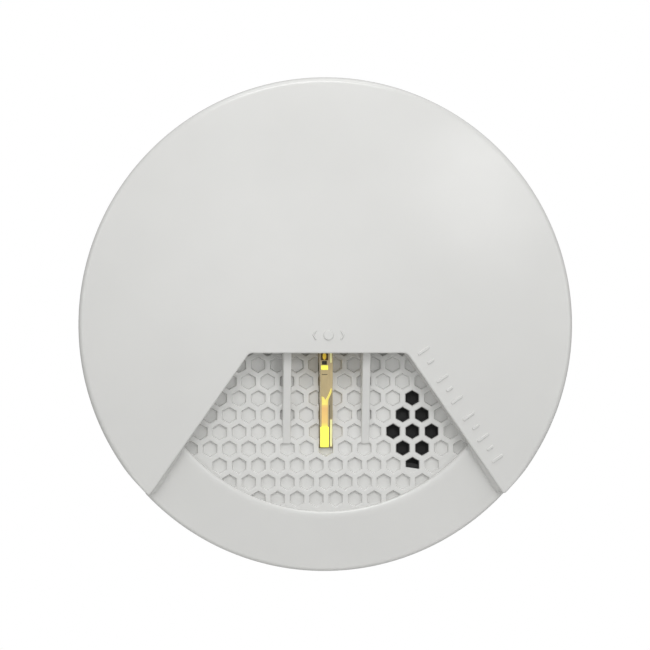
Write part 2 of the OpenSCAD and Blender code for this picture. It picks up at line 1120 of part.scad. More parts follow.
module battery_door() {
    plate_x = bay_x + 2 * bay_wall - 0.4;
    plate_y = bay_y + 2 * bay_wall - 0.2;
    catch = [8, 0.8, 2];
    catch_y = -8.75;
    grip = [0.8, 5, 1.5];
    grip_y = -9.4;
    grip_step = 2;
    color("white")
        upright()
            difference() {
                union() {
                    translate([-plate_x / 2, -plate_y / 2, door_z])
                        cube([plate_x, plate_y, door_t]);
                    translate([-door_barrel_half, 0, door_z])
                        cube([2 * door_barrel_half, door_axis_y, door_t]);
                    translate([-door_barrel_half, door_axis_y, door_axis_z])
                        rotate([0, 90, 0])
                            cylinder(r = door_barrel_r, h = 2 * door_barrel_half, $fn = round_fn);
                    translate([-catch.x / 2, catch_y, door_z + door_t - eps])
                        cube(catch);
                }
                translate([-big / 2, door_axis_y, door_axis_z])
                    rotate([0, 90, 0])
                        cylinder(r = door_pin_r + running_gap, h = big, $fn = round_fn);
                for (i = [-3 : 3])
                    translate([i * grip_step - grip.x / 2, grip_y, door_z - past])
                        cube(grip);
            }
}

module door_hinge_pin() {
    ear_reach = 2.8;
    pin_half = door_barrel_half + ear_reach;
    color("silver")
        upright()
            translate([-pin_half, door_axis_y, door_axis_z])
                rotate([0, 90, 0])
                    cylinder(r = door_pin_r, h = 2 * pin_half, $fn = round_fn);
}

// ---- Tamper switch ----

module tamper_plunger() {
    place = polar(tamper_ring_r, tamper_angle);
    top_z = 19;
    collar_r = 2.4;
    collar_z = 16.4;
    collar_t = 1;
    color("white")
        upright()
            union() {
                post(place, tamper_r, tamper_tip_z, top_z);
                post(place, collar_r, collar_z, collar_z + collar_t);
            }
}

module tamper_spring() {
    turns = 3;
    pitch = 1.55;
    low_z = 11.1;
    coil_r = 2.05;
    wire_r = 0.22;
    wire_fn = 16;
    place = polar(tamper_ring_r, tamper_angle);
    color("silver")
        upright()
            translate([place.x, place.y, 0])
                for (i = [0 : turns])
                    translate([0, 0, low_z + i * pitch])
                        rotate_extrude($fn = round_fn)
                            translate([coil_r, 0])
                                circle(r = wire_r, $fn = wire_fn);
}

module tamper_switch() {
    place = polar(tamper_ring_r, tamper_angle);
    side = 7;
    low_z = 19.4;
    bore_r = 1.9;
    bore_depth = 2;
    color("black")
        upright()
            difference() {
                translate([place.x - side / 2, place.y - side / 2, low_z])
                    cube([side, side, board_z - low_z]);
                post(place, bore_r, low_z - past, low_z + bore_depth);
            }
}

mounting_bracket();
rear_housing();
housing_screws();
vent_fins();
vent_screen();
vent_ring();
front_cover();
hex_grille();
test_button();
test_pivot_pin();
test_switch_body();
switch_plunger();
status_led();
main_board();
board_screws();
chamber_base();
chamber_labyrinth();
chamber_mesh();
chamber_cap();
optics_holder();
infrared_led();
photodiode();
sounder_shell();
piezo_disc();
sounder_gasket();
sounder_contacts();
battery_cell();
battery_wrap();
battery_spring_contact();
battery_plate_contact();
battery_door();
door_hinge_pin();
tamper_plunger();
tamper_spring();
tamper_switch();
antenna_strip();
radio_module();
microcontroller();
capacitors();
driver_coil();
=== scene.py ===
"""Looks of the wall-mounted smoke detector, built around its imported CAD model.

Outer shells are drawn in millimetres in the detector's plan: x to the right, y up, and z as the
height above the wall. on_wall() turns them into the row frame, where the face looks along -Y.
"""

import json
import math

import bmesh
import bpy
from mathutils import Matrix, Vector
from mathutils.geometry import delaunay_2d_cdt


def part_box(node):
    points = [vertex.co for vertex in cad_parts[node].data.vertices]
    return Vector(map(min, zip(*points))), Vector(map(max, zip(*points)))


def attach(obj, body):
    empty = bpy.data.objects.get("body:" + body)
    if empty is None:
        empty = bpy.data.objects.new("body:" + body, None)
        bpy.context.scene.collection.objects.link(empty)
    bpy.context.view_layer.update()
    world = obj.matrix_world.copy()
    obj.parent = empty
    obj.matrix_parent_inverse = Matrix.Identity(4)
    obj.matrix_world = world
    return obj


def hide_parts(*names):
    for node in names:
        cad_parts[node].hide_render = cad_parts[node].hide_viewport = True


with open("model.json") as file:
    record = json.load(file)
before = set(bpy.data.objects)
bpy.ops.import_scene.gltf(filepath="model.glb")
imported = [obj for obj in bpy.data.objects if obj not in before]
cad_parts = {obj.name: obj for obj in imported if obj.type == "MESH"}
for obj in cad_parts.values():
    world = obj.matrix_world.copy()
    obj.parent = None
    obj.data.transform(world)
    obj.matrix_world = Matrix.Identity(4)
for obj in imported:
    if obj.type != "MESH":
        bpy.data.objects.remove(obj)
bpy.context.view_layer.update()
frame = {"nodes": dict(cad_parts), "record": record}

MM = 0.001


def plan_box(node):
    """Lowest and highest corner of a CAD node in plan millimetres."""
    low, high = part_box(node)
    return (
        Vector((low.x / MM, low.z / MM, -high.y / MM)),
        Vector((high.x / MM, high.z / MM, -low.y / MM)),
    )


# ---------------------------------------------------------------- driving sizes, from the frame

cover_low, cover_high = plan_box("front_cover")
RELIEF = 0.3
COVER_R = (cover_high.x - cover_low.x) / 2
TOP_Z = cover_high.z - RELIEF
SKIRT_Z = plan_box("vent_ring")[0].z
DOME_R = 600.0
COVER_WALL = 2.0

WINDOW_TOP = 6.9
WINDOW_HALF = 19.2
WINDOW_SLANT = 0.698
LIP_R = 45.6
CHIN_DROP = 3.6

HEX_PITCH = 4.74
HEX_BAR = 1.26
HEX_DEPTH = 1.0
HEX_ROW = HEX_PITCH * math.sqrt(3) / 2
HEX_FIRST_ROW = 9.8
HEX_ROWS = 10
OPEN_TAPER = 0.3
DISH_RIM_Z = 46.3
DISH_CURVE = 0.0024
RIB_X = 9.67
RIB_W = 2.0

guide_low, guide_high = plan_box("test_button")
GUIDE_W = guide_high.x - guide_low.x
GUIDE_TIP = -guide_low.y
GUIDE_GAP = 0.12
GUIDE_AXIS = Vector((2.0, 46.5))
GUIDE_HUB_R = 2.3

sounder_low, sounder_high = plan_box("sounder_shell")
SOUNDER = (sounder_low + sounder_high) / 2
OPEN_STEPS = 2
BLIND, OPEN, FLAT = range(3)

SLANT_LEN = math.hypot(WINDOW_SLANT, 1)
SLANT_DIR = Vector((WINDOW_SLANT, -1)) / SLANT_LEN
SLANT_OUT = Vector((1, WINDOW_SLANT)) / SLANT_LEN
SLANT_OFF = Vector((WINDOW_HALF, -WINDOW_TOP)).dot(SLANT_OUT)


def dome_z(r):
    """Height of the domed face at the radius r."""
    return TOP_Z - r * r / (2 * DOME_R)


def chin_z(r):
    """Height of the lowered chin at the radius r."""
    return dome_z(r) - CHIN_DROP


def dish_z(r):
    """Height of the lattice's bars at the radius r."""
    return DISH_RIM_Z - DISH_CURVE * (LIP_R - r) ** 2


def smoothstep(value, low, high):
    t = min(max((value - low) / (high - low), 0.0), 1.0)
    return t * t * (3 - 2 * t)


def mix(a, b, t):
    return a + (b - a) * t


def polar(r, degrees):
    return Vector((r * math.cos(math.radians(degrees)), r * math.sin(math.radians(degrees))))


# ---------------------------------------------------------------- mesh helpers


class Shell:
    """A closed surface being put together from rings and faces, in plan millimetres."""

    def __init__(self):
        self.points = []
        self.faces = []

    def add(self, points):
        """Adds points and returns their numbers."""
        first = len(self.points)
        self.points += [tuple(p) for p in points]
        return list(range(first, len(self.points)))

    def bridge(self, ring_a, ring_b, closed=True):
        """Joins two rings of the same length with quads."""
        count = len(ring_a)
        for i in range(count if closed else count - 1):
            j = (i + 1) % count
            self.faces.append((ring_a[i], ring_a[j], ring_b[j], ring_b[i]))

    def fill(self, ring, height, spacing, flip=False):
        """Fills a ring with triangles on the surface height(r), with points every spacing."""
        flat = [Vector(self.points[i][:2]) for i in ring]
        low_x, high_x = min(p.x for p in flat), max(p.x for p in flat)
        low_y, high_y = min(p.y for p in flat), max(p.y for p in flat)
        row_step = spacing * math.sqrt(3) / 2
        inner = []
        for row in range(int((high_y - low_y) / row_step)):
            y = low_y + (row + 0.7) * row_step
            shift = spacing / 2 if row % 2 else 0
            for col in range(int((high_x - low_x) / spacing) + 1):
                p = Vector((low_x + shift + (col + 0.3) * spacing, y))
                if well_inside(p, flat, spacing * 0.45):
                    inner.append(p)
        edges = [(i, (i + 1) % len(flat)) for i in range(len(flat))]
        points, _, faces, _, _, _ = delaunay_2d_cdt(flat + inner, edges, [], 1, 1e-6)
        numbers = list(ring)
        numbers += self.add((p.x, p.y, height(p.length)) for p in points[len(flat):])
        for face in faces:
            turned = [numbers[i] for i in face]
            self.faces.append(tuple(reversed(turned)) if flip else tuple(turned))


def well_inside(p, loop, margin):
    """Is p inside the loop and further than margin from its corners and edges?"""
    inside = False
    for a, b in zip(loop, loop[1:] + loop[:1]):
        if (a.y > p.y) != (b.y > p.y) and p.x < (b.x - a.x) * (p.y - a.y) / (b.y - a.y) + a.x:
            inside = not inside
        edge = b - a
        t = min(max((p - a).dot(edge) / max(edge.length_squared, 1e-12), 0), 1)
        if (a + edge * t - p).length < margin:
            return False
    return inside


def on_wall(points):
    """Plan millimetres to the row frame in metres."""
    return [(x * MM, -z * MM, y * MM) for x, y, z in points]


def mesh_object(name, shell):
    mesh = bpy.data.meshes.new(name)
    mesh.from_pydata(on_wall(shell.points), [], shell.faces)
    mesh.update()
    obj = bpy.data.objects.new(name, mesh)
    bpy.context.scene.collection.objects.link(obj)
    clean(obj)
    return obj


def clean(obj):
    """Joins doubled points, drops faces with no area and turns every face outwards."""
    merge = 2e-6
    bm = bmesh.new()
    bm.from_mesh(obj.data)
    bmesh.ops.remove_doubles(bm, verts=bm.verts, dist=merge)
    bmesh.ops.dissolve_degenerate(bm, dist=merge, edges=bm.edges)
    bmesh.ops.recalc_face_normals(bm, faces=bm.faces)
    bm.to_mesh(obj.data)
    bm.free()


def baked(obj):
    """Applies every modifier of obj."""
    graph = bpy.context.evaluated_depsgraph_get()
    graph.update()
    mesh = bpy.data.meshes.new_from_object(obj.evaluated_get(graph))
    old = obj.data
    obj.modifiers.clear()
    obj.data = mesh
    bpy.data.meshes.remove(old)
    return obj


def combine(obj, other, how):
    """Boolean of two closed objects, UNION, DIFFERENCE or INTERSECT. The other one is used up."""
    cut = obj.modifiers.new("combine", "BOOLEAN")
    cut.operation = how
    cut.object = other
    cut.solver = "MANIFOLD"
    baked(obj)
    bpy.data.objects.remove(other)
    return obj


def rounded(obj, width, segments, angle):
    """Rounds the sharp edges of obj by width millimetres."""
    bevel = obj.modifiers.new("rounding", "BEVEL")
    bevel.width = width * MM
    bevel.segments = segments
    bevel.limit_method = "ANGLE"
    bevel.angle_limit = math.radians(angle)
    bevel.use_clamp_overlap = True
    bevel.miter_outer = "MITER_ARC"
    return baked(obj)


def smooth(obj, angle=38):
    """Smooth shading that keeps flat faces flat."""
    obj.data.shade_smooth()
    obj.data.set_sharp_from_angle(angle=math.radians(angle))
    weigh = obj.modifiers.new("flat_faces", "WEIGHTED_NORMAL")
    weigh.keep_sharp = True
    weigh.weight = 80
    return baked(obj)


def finish_piece(obj, body, material, replaced=()):
    """Gives a piece its material, its body and the CAD nodes it stands for."""
    obj.data.materials.clear()
    for m in material if isinstance(material, (list, tuple)) else [material]:
        obj.data.materials.append(m)
    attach(obj, body)
    if replaced:
        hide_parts(*replaced)
    return obj


def prism(outline, z0, z1, name="prism"):
    """A closed upright prism on a plan outline."""
    shell = Shell()
    low = shell.add((p[0], p[1], z0) for p in outline)
    high = shell.add((p[0], p[1], z1) for p in outline)
    shell.bridge(low, high)
    shell.faces += [tuple(reversed(low)), tuple(high)]
    return mesh_object(name, shell)


def side_plate(profile, x0, x1, name):
    """A closed plate on a profile of (y, z) points, from x0 to x1."""
    shell = Shell()
    left = shell.add((x0, y, z) for y, z in profile)
    right = shell.add((x1, y, z) for y, z in profile)
    shell.bridge(left, right)
    shell.faces += [tuple(reversed(left)), tuple(right)]
    return mesh_object(name, shell)


# ---------------------------------------------------------------- materials


class Paint:
    """A node material with a Principled shader and textures in object coordinates."""

    def __init__(self, name, color, roughness, metallic=0.0, specular=0.5):
        self.material = bpy.data.materials.new(name)
        self.material.use_nodes = True
        self.material.diffuse_color = (*color, 1)
        self.tree = self.material.node_tree
        self.shader = self.tree.nodes["Principled BSDF"]
        self.shader.inputs["Base Color"].default_value = (*color, 1)
        self.shader.inputs["Roughness"].default_value = roughness
        self.shader.inputs["Metallic"].default_value = metallic
        self.shader.inputs["Specular IOR Level"].default_value = specular
        self.place = self.node("ShaderNodeTexCoord").outputs["Object"]

    def node(self, kind, **settings):
        made = self.tree.nodes.new(kind)
        for key, value in settings.items():
            setattr(made, key, value)
        return made

    def join(self, output, target):
        self.tree.links.new(output, target)

    def noise(self, size, detail, stretch=(1, 1, 1)):
        """Noise with features of about size millimetres."""
        spread = self.node("ShaderNodeMapping")
        spread.inputs["Scale"].default_value = stretch
        self.join(self.place, spread.inputs["Vector"])
        made = self.node("ShaderNodeTexNoise")
        made.inputs["Scale"].default_value = 1 / (size * MM)
        made.inputs["Detail"].default_value = detail
        self.join(spread.outputs["Vector"], made.inputs["Vector"])
        return made.outputs["Fac"]

    def ramp(self, value, stops):
        """A colour ramp of (position, colour) stops."""
        made = self.node("ShaderNodeValToRGB")
        made.color_ramp.elements[0].position = stops[0][0]
        made.color_ramp.elements[0].color = (*stops[0][1], 1)
        made.color_ramp.elements[1].position = stops[-1][0]
        made.color_ramp.elements[1].color = (*stops[-1][1], 1)
        for position, color in stops[1:-1]:
            made.color_ramp.elements.new(position).color = (*color, 1)
        self.join(value, made.inputs["Fac"])
        return made.outputs["Color"]

    def math(self, kind, a, b=0.0):
        made = self.node("ShaderNodeMath", operation=kind)
        for socket, value in zip(made.inputs, (a, b)):
            if isinstance(value, (int, float)):
                socket.default_value = value
            else:
                self.join(value, socket)
        return made.outputs[0]

    def span(self, value, low, high):
        """value from low..high to 0..1."""
        made = self.node("ShaderNodeMapRange")
        made.inputs["From Min"].default_value = low
        made.inputs["From Max"].default_value = high
        self.join(value, made.inputs["Value"])
        return made.outputs["Result"]

    def tint(self, color, low, high, factor):
        """Base colour that varies from low to high times color with factor."""
        stops = [(0.3, [c * low for c in color]), (0.7, [c * high for c in color])]
        self.join(self.ramp(factor, stops), self.shader.inputs["Base Color"])

    def rough(self, low, high, factor):
        made = self.node("ShaderNodeMapRange")
        made.inputs["To Min"].default_value = low
        made.inputs["To Max"].default_value = high
        self.join(factor, made.inputs["Value"])
        self.join(made.outputs["Result"], self.shader.inputs["Roughness"])

    def bump(self, height, depth):
        """Bumps of about depth millimetres."""
        made = self.node("ShaderNodeBump")
        made.inputs["Strength"].default_value = 1.0
        made.inputs["Distance"].default_value = depth * MM
        self.join(height, made.inputs["Height"])
        self.join(made.outputs["Normal"], self.shader.inputs["Normal"])

    def wave(self, axis, pitch):
        """A 0..1 wave along an axis with a pitch in millimetres."""
        turned = self.math("MULTIPLY", self.position(axis), 2 * math.pi / (pitch * MM))
        return self.span(self.math("SINE", turned), -1, 1)

    def position(self, axis):
        made = self.node("ShaderNodeSeparateXYZ")
        self.join(self.place, made.inputs["Vector"])
        return made.outputs[axis]


def moulded_plastic(name, color, rough_low, rough_high, grain_depth):
    """Moulded plastic: a fine even grain, slow changes of gloss and a faint clouding of colour."""
    paint = Paint(name, color, rough_low)
    paint.tint(color, 0.985, 1.01, paint.noise(18, 2))
    paint.rough(rough_low, rough_high, paint.noise(7, 3))
    paint.bump(paint.noise(0.22, 2), grain_depth)
    return paint


def gloss_white():
    paint = moulded_plastic("gloss_white", (0.77, 0.77, 0.755), 0.19, 0.25, 0.0008)
    return paint.material


def satin_white():
    paint = moulded_plastic("satin_white", (0.75, 0.75, 0.728), 0.42, 0.54, 0.004)
    return paint.material


def bracket_white():
    paint = moulded_plastic("bracket_white", (0.73, 0.73, 0.705), 0.5, 0.62, 0.006)
    return paint.material


def black_plastic():
    paint = moulded_plastic("black_plastic", (0.014, 0.014, 0.015), 0.4, 0.55, 0.005)
    return paint.material


def brushed_steel():
    paint = Paint("brushed_steel", (0.55, 0.55, 0.56), 0.3, metallic=1.0)
    streaks = paint.noise(0.5, 4, (1, 12, 1))
    paint.rough(0.22, 0.42, streaks)
    paint.tint((0.55, 0.55, 0.56), 0.9, 1.05, streaks)
    paint.bump(streaks, 0.002)
    return paint.material


def screen_steel():
    paint = Paint("screen_steel", (0.09, 0.09, 0.095), 0.45, metallic=0.8)
    paint.tint((0.09, 0.09, 0.095), 0.8, 1.25, paint.noise(1.5, 3))
    paint.rough(0.35, 0.55, paint.noise(0.6, 3))
    return paint.material


def nickel():
    paint = Paint("nickel", (0.62, 0.58, 0.5), 0.2, metallic=1.0)
    paint.rough(0.14, 0.3, paint.noise(1.2, 4))
    paint.tint((0.62, 0.58, 0.5), 0.92, 1.05, paint.noise(3, 3))
    return paint.material


def brass():
    paint = Paint("brass", (0.62, 0.42, 0.14), 0.3, metallic=1.0)
    paint.rough(0.24, 0.42, paint.noise(1.5, 4))
    paint.tint((0.62, 0.42, 0.14), 0.85, 1.08, paint.noise(4, 3))
    return paint.material


def copper_winding():
    """Enamelled copper wound round the coil, turn beside turn."""
    color = (0.5, 0.17, 0.06)
    paint = Paint("copper_winding", color, 0.3, metallic=0.8)
    pitch = 0.35 * MM
    turned = paint.math("MULTIPLY", paint.position("Y"), 2 * math.pi / pitch)
    turns = paint.math("SINE", turned)
    paint.tint(color, 0.7, 1.1, paint.span(turns, -1, 1))
    paint.bump(turns, 0.05)
    return paint.material


def can_metal():
    paint = Paint("can_metal", (0.5, 0.51, 0.52), 0.35, metallic=1.0)
    paint.rough(0.28, 0.45, paint.noise(2, 3))
    paint.bump(paint.noise(0.3, 2), 0.003)
    return paint.material


def board_green():
    """Solder mask over a net of tracks."""
    color = (0.012, 0.085, 0.03)
    paint = Paint("board_green", color, 0.3)
    cells = paint.node("ShaderNodeTexVoronoi", feature="DISTANCE_TO_EDGE", distance="CHEBYCHEV")
    cells.inputs["Scale"].default_value = 1 / (3.2 * MM)
    paint.join(paint.place, cells.inputs["Vector"])
    track = paint.span(cells.outputs["Distance"], 0.0, 0.16)
    paint.join(
        paint.ramp(track, [(0.4, (0.03, 0.16, 0.06)), (0.6, color)]),
        paint.shader.inputs["Base Color"],
    )
    paint.bump(track, -0.03)
    return paint.material


def foam():
    paint = Paint("foam", (0.02, 0.02, 0.02), 0.95, specular=0.2)
    paint.bump(paint.noise(0.25, 4), 0.12)
    paint.tint((0.02, 0.02, 0.02), 0.6, 1.4, paint.noise(0.4, 3))
    return paint.material


def cell_wrap():
    """Plain shrink wrap: dark, with one paler band and no print."""
    paint = Paint("cell_wrap", (0.02, 0.03, 0.06), 0.25)
    along = paint.span(paint.position("X"), -16 * MM, 16 * MM)
    dark = (0.012, 0.018, 0.04)
    pale = (0.22, 0.24, 0.26)
    stops = [(0.0, dark), (0.68, dark), (0.7, pale), (0.9, pale), (0.92, dark), (1.0, dark)]
    paint.join(paint.ramp(along, stops), paint.shader.inputs["Base Color"])
    paint.bump(paint.noise(2.5, 2), 0.02)
    return paint.material


def led_yellow():
    paint = Paint("led_yellow", (0.95, 0.75, 0.1), 0.25)
    paint.tint((0.95, 0.75, 0.1), 0.9, 1.05, paint.noise(1.0, 2))
    paint.shader.inputs["Emission Color"].default_value = (1.0, 0.85, 0.2, 1)
    paint.shader.inputs["Emission Strength"].default_value = 1.2
    return paint.material


def clear_epoxy():
    paint = Paint("clear_epoxy", (0.5, 0.6, 0.85), 0.08)
    paint.shader.inputs["Transmission Weight"].default_value = 0.75
    paint.shader.inputs["IOR"].default_value = 1.5
    paint.rough(0.05, 0.12, paint.noise(1.5, 2))
    return paint.material


gloss = gloss_white()
satin = satin_white()
bracket_plastic = bracket_white()
black = black_plastic()

NODE_PAINTS = {
    "cover_white": gloss,
    "housing_white": satin,
    "bracket_white": bracket_plastic,
    "black_plastic": black,
    "steel": brushed_steel(),
    "insect_mesh": screen_steel(),
    "board_green": board_green(),
    "nickel": nickel(),
    "brass": brass(),
    "foam": foam(),
    "cell_wrap": cell_wrap(),
    "led_yellow": led_yellow(),
    "ir_clear": clear_epoxy(),
    "copper": copper_winding(),
    "can_grey": can_metal(),
}


def paint_nodes():
    """Every CAD node takes the material of its slot."""
    slots = {s["node"]: s["material_slot"] for s in frame["record"]["subparts"]}
    for name, node in frame["nodes"].items():
        paint = NODE_PAINTS.get(slots[name])
        if paint:
            node.data.materials.clear()
            node.data.materials.append(paint)


paint_nodes()


# ---------------------------------------------------------------- front cover

RIM_ROUND = 1.35
SLANT_ROUND = 0.4
CORNER_X = 43.3
CORNER_R = 0.6
CORNER_ROUND = 0.5
CORNER_WALL = 0.5
CORNER_DIP = 0.3
CORNER_SPREAD = 8
SLANT_WALL = 1.1
RAMP_RUN = 0.6
RAMP_RISE = 1.45
NOOK_R = 1.5
WALL_BOTTOM = 46.5


def line_points(a, b, spacing):
    """Points from a towards b, without b."""
    steps = max(1, round((b - a).length / spacing))
    return [a + (b - a) * i / steps for i in range(steps)]


def arc_points(centre, r, start, end, spacing):
    """Points on an arc in degrees, without its last one."""
    steps = max(2, round(abs(math.radians(end - start)) * r / spacing))
    return [centre + polar(r, start + (end - start) * i / steps) for i in range(steps)]


def direction(v):
    return math.degrees(math.atan2(v.y, v.x))


def mirrored(points):
    return [Vector((-p.x, p.y)) for p in points]


def disc_outline():
    """The raised disc's outline, anticlockwise from the middle of the window's top edge."""
    corner_reach = COVER_R - CORNER_DIP - CORNER_R
    reach = math.acos((SLANT_OFF + CORNER_R) / corner_reach)
    corner = polar(corner_reach, direction(SLANT_OUT) - math.degrees(reach))
    foot = corner - SLANT_OUT * CORNER_R
    half_turn = (90 - direction(SLANT_OUT)) / 2
    nook_side = NOOK_R * math.tan(math.radians(half_turn))
    window_corner = Vector((WINDOW_HALF, -WINDOW_TOP))
    nook_centre = window_corner + Vector((-nook_side, -NOOK_R))
    top = line_points(Vector((0, -WINDOW_TOP)), window_corner - Vector((nook_side, 0)), 1.6)
    nook = arc_points(nook_centre, NOOK_R, 90, direction(SLANT_OUT), 0.15)
    slant = line_points(window_corner + SLANT_DIR * nook_side, foot, 0.7)
    corner_at = direction(corner)
    rim_at = corner_at + CORNER_SPREAD
    turn = arc_points(corner, CORNER_R, direction(SLANT_OUT) - 180, corner_at, 0.2)
    rim = [
        p * (1 - CORNER_DIP / COVER_R * (1 - smoothstep(direction(p), corner_at, rim_at)))
        for p in arc_points(Vector((0, 0)), COVER_R, corner_at, 90, 0.8)
    ]
    right = top + nook + slant + turn + rim
    left = mirrored(right)
    return right + [Vector((0, COVER_R))] + list(reversed(left[1:]))


def inward_normals(loop):
    """Unit normals to the left of an anticlockwise loop."""
    normals = []
    for i, p in enumerate(loop):
        before, after = loop[i - 1], loop[(i + 1) % len(loop)]
        a = (p - before).normalized()
        b = (after - p).normalized()
        n = Vector((-a.y - b.y, a.x + b.x)).normalized()
        normals.append(n)
    return normals


def edge_facts(p):
    """Rounding, width of the sloping foot, wall and underside of the disc's edge at the point p."""
    on_rim = smoothstep(p.length, COVER_R - 0.9, COVER_R - 0.02)
    past_corner = smoothstep(abs(p.x) - CORNER_X, 0.4, 9) if on_rim > 0.5 else 0.0
    if p.y > 0:
        past_corner = 1.0
    at_top = p.y > -WINDOW_TOP - 0.02
    into_chin = smoothstep(p.length, LIP_R - 0.2, LIP_R + 1.4)
    near_rim = smoothstep(p.length, COVER_R - 2.0, COVER_R - 0.3)
    round_r = mix(SLANT_ROUND, mix(CORNER_ROUND, RIM_ROUND, past_corner), on_rim)
    ramp = into_chin * (1 - near_rim) * mix(0.9, 1.75, smoothstep(p.length, LIP_R, COVER_R - 3))
    slant_wall = mix(SLANT_WALL, CORNER_WALL, near_rim)
    wall = mix(slant_wall, mix(CORNER_WALL, COVER_WALL, past_corner), on_rim)
    if on_rim > 0.5:
        bottom = SKIRT_Z
    elif at_top:
        bottom = dome_z(p.length) - COVER_WALL
    elif p.length > LIP_R:
        bottom = chin_z(p.length) - 0.5
    else:
        bottom = WALL_BOTTOM
    return round_r, ramp, wall, bottom


def disc_shell():
    """The raised disc with its rounded rim, the window's edges and the sloping foot on the chin."""
    loop = disc_outline()
    normals = inward_normals(loop)
    facts = [edge_facts(p) for p in loop]
    shell = Shell()
    rings = []

    def ring(place):
        rings.append(shell.add(place(p, n, *f) for p, n, f in zip(loop, normals, facts)))

    round_steps = 7
    for i in range(round_steps + 1):
        phi = math.radians(90 * i / round_steps)

        def rounding(p, n, r, ramp, wall, bottom, phi=phi):
            q = p + n * r * (1 - math.sin(phi))
            z = dome_z((p + n * r).length) - r * (1 - math.cos(phi))
            return (q.x, q.y, z)

        ring(rounding)
    for step in (0.0, 0.5, 1.0):

        def foot(p, n, r, ramp, wall, bottom, step=step):
            q = p - n * ramp * RAMP_RUN * step
            ground = chin_z(q.length) - 0.01 if ramp > 0.001 else bottom + 0.25
            return (q.x, q.y, ground + ramp * RAMP_RISE * (1 - step))

        ring(foot)

    def sole_outer(p, n, r, ramp, wall, bottom):
        q = p - n * (ramp * RAMP_RUN - 0.25)
        return (q.x, q.y, bottom)

    def sole_inner(p, n, r, ramp, wall, bottom):
        q = p + n * wall
        return (q.x, q.y, bottom)

    def under(p, n, r, ramp, wall, bottom):
        q = p + n * wall
        return (q.x, q.y, dome_z(q.length) - COVER_WALL)

    for place in (sole_outer, sole_inner, under):
        ring(place)
    for a, b in zip(rings, rings[1:]):
        shell.bridge(b, a)
    shell.fill(rings[0], dome_z, 3.0)
    shell.fill(rings[-1], lambda r: dome_z(r) - COVER_WALL, 6.0, flip=True)
    return shell


def sector_shell(profile, margin, steps):
    """A ring-shaped solid on an (r, z) profile, ended by the slanted walls grown by margin."""
    shell = Shell()
    rows = []
    for r, z in profile:
        reach = math.degrees(math.acos((SLANT_OFF + margin) / r))
        half = 90 + direction(SLANT_OUT) - reach
        angles = [-90 + half * (2 * j / steps - 1) for j in range(steps + 1)]
        rows.append(shell.add((*polar(r, angle), z) for angle in angles))
    for a, b in zip(rows, rows[1:] + rows[:1]):
        shell.bridge(a, b, closed=False)
    shell.faces.append(tuple(row[0] for row in rows))
    shell.faces.append(tuple(row[-1] for row in reversed(rows)))
    return shell


def quarter(r_centre, z_centre, radius, start, end):
    """Profile points on an arc in degrees."""
    steps = 6
    return [
        (
            r_centre + radius * math.cos(math.radians(start + (end - start) * i / steps)),
            z_centre + radius * math.sin(math.radians(start + (end - start) * i / steps)),
        )
        for i in range(steps + 1)
    ]


def chin_profile():
    """Section of the lowered chin, from the skirt over the rim and the face to the lip."""
    rim_round = 0.95
    lip_round = 0.4
    lip_lean = 20
    toe = 0.25
    inner = COVER_R - COVER_WALL
    rim_r = COVER_R - rim_round
    lip_face_r = LIP_R + 0.85
    lip_fall = 0.59
    face_steps = 10
    profile = [(inner, SKIRT_Z), (COVER_R - toe, SKIRT_Z), (COVER_R, SKIRT_Z + toe)]
    profile += quarter(rim_r, chin_z(rim_r) - rim_round, rim_round, 0, 90)
    for i in range(1, face_steps):
        r = mix(rim_r, lip_face_r, i / face_steps)
        profile.append((r, chin_z(r)))
    profile.append((lip_face_r, chin_z(lip_face_r)))
    lip_z = chin_z(lip_face_r) - lip_fall
    profile += quarter(LIP_R + lip_round, lip_z, lip_round, 90 + lip_lean, 180)
    profile += [(LIP_R, DISH_RIM_Z + 0.1), (LIP_R + 1.2, DISH_RIM_Z + 0.1)]
    for i in range(face_steps + 1):
        r = mix(LIP_R + 1.3, inner - 0.3, i / face_steps)
        profile.append((r, chin_z(r) - COVER_WALL + 0.05))
    return profile


def raised_mark(outline):
    """A low moulded mark with sloping sides on the domed face."""
    shell = Shell()
    normals = inward_normals(outline)

    def ring(inset, rise):
        placed = [p + n * inset for p, n in zip(outline, normals)]
        return shell.add((q.x, q.y, dome_z(q.length) + rise) for q in placed)

    rings = [ring(0.0, -0.4), ring(0.0, 0.03), ring(0.08, RELIEF - 0.06), ring(0.18, RELIEF)]
    for a, b in zip(rings, rings[1:]):
        shell.bridge(a, b)
    shell.faces += [tuple(reversed(rings[0])), tuple(rings[-1])]
    return mesh_object("mark", shell)


def capsule(centre, along, length, width):
    """Outline of a bar with round ends."""
    r = width / 2
    end = along * (length / 2 - r)
    angle = direction(along)
    steps = 6
    head = [centre + end + polar(r, angle - 90 + 180 * i / steps) for i in range(steps + 1)]
    tail = [centre - end + polar(r, angle + 90 + 180 * i / steps) for i in range(steps + 1)]
    return head + tail


def circle_outline(centre, r, steps=28):
    return [centre + polar(r, 360 * i / steps) for i in range(steps)]


def relief_marks():
    """Plain raised shapes: a press symbol over the light guide and groups of bars on the right."""
    marks = []
    press = Vector((0, -WINDOW_TOP + 4.4))
    for side in (-1, 1):
        for lean in (-1, 1):
            stroke = Vector((-side * 0.6, lean)).normalized()
            marks.append(capsule(press + Vector((side * 3.4, lean * 0.46)), stroke, 1.55, 0.42))
    marks.append(circle_outline(press, 1.25))
    first = 1.8
    bar_step = 3.15
    group_gap = 1.9
    edge_gap = 1.9
    bar_long, bar_short, bar_w = 3.4, 2.0, 0.78
    start = Vector((WINDOW_HALF, -WINDOW_TOP))
    along = first
    for count in (2, 3, 5):
        for i in range(count):
            length = bar_long if i % 2 == 0 else bar_short
            centre = start + SLANT_DIR * along + SLANT_OUT * (edge_gap + bar_long / 2)
            marks.append(capsule(centre, SLANT_OUT, length, bar_w))
            along += bar_step
        along += group_gap
    return marks


